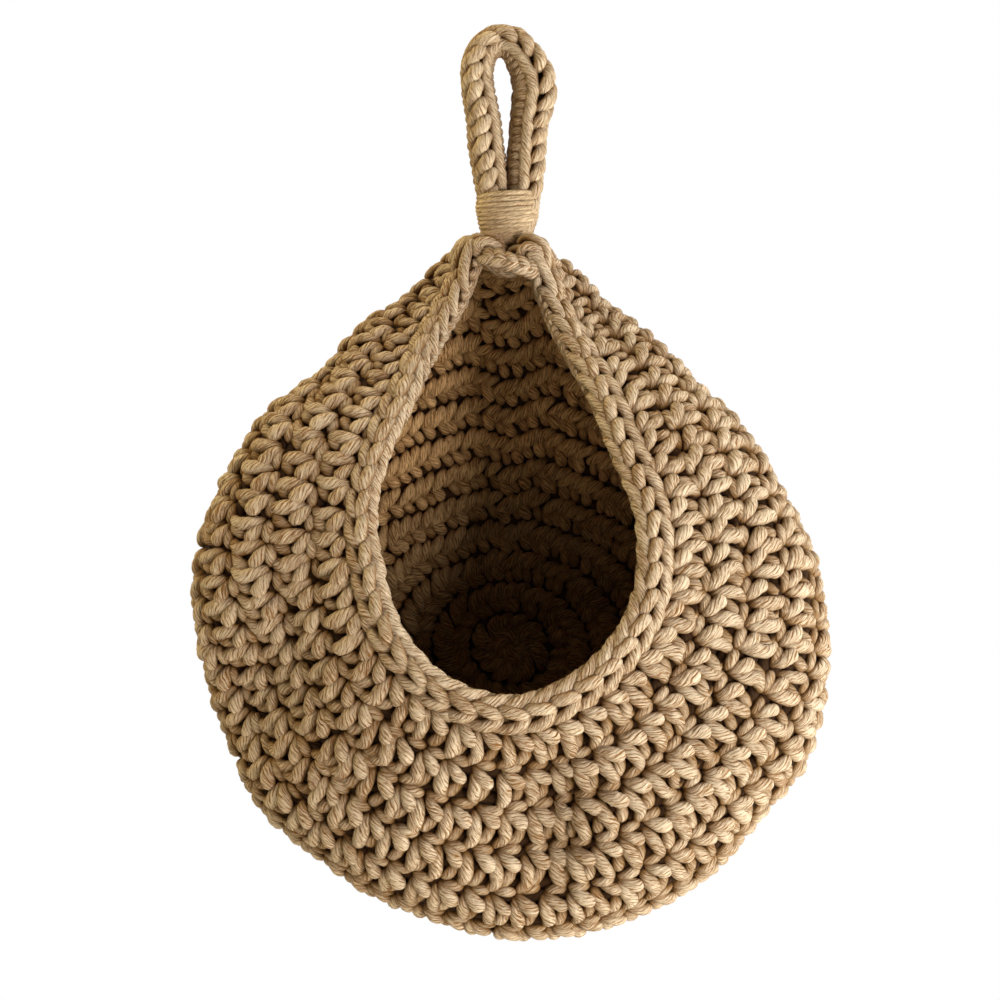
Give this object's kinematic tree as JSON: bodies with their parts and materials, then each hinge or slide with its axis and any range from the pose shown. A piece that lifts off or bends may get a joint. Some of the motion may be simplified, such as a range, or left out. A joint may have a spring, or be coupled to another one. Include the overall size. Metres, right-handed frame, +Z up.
{
  "type": "hanging fruit basket",
  "caption": "Soft crocheted cotton cord pouch with a front mouth, hung from a bound loop strap, for fruit on a kitchen hook.",
  "frame": {"origin": "the point at the inner top of the strap's loop that rests on the hook", "axes": "+Z up, the mouth faces -Y, +X to the right seen from the front; the flat back faces +Y"},
  "size_m": [0.2782, 0.1302, 0.4034],
  "materials": {
    "round_01": "matte natural cotton cord",
    "round_02": "matte natural cotton cord",
    "round_03": "matte natural cotton cord",
    "round_04": "matte natural cotton cord",
    "round_05": "matte natural cotton cord",
    "round_06": "matte natural cotton cord",
    "round_07": "matte natural cotton cord",
    "round_08": "matte natural cotton cord",
    "round_09": "matte natural cotton cord",
    "round_10": "matte natural cotton cord",
    "round_11": "matte natural cotton cord",
    "round_12": "matte natural cotton cord",
    "round_13": "matte natural cotton cord",
    "round_14": "matte natural cotton cord",
    "rim_chain": "matte natural cotton cord",
    "bridge_stitches": "matte natural cotton cord",
    "hanging_strap": "matte natural cotton cord",
    "binding": "matte natural cotton cord"
  },
  "bodies": {
    "hanger": {"hanging_strap": "hanging_strap", "binding": "binding"},
    "basket": {"round_01": "round_01", "round_02": "round_02", "round_03": "round_03", "round_04": "round_04", "round_05": "round_05", "round_06": "round_06", "round_07": "round_07", "round_08": "round_08", "round_09": "round_09", "round_10": "round_10", "round_11": "round_11", "round_12": "round_12", "round_13": "round_13", "round_14": "round_14", "rim_chain": "rim_chain", "bridge_stitches": "bridge_stitches"}
  },
  "joints": [
    {"name": "neck_sway", "type": "hinge", "parent": "hanger", "child": "basket", "pos_m": [0, 0, -0.087], "axis": [1, 0, 0], "range_deg": [-15, 15]}
  ]
}
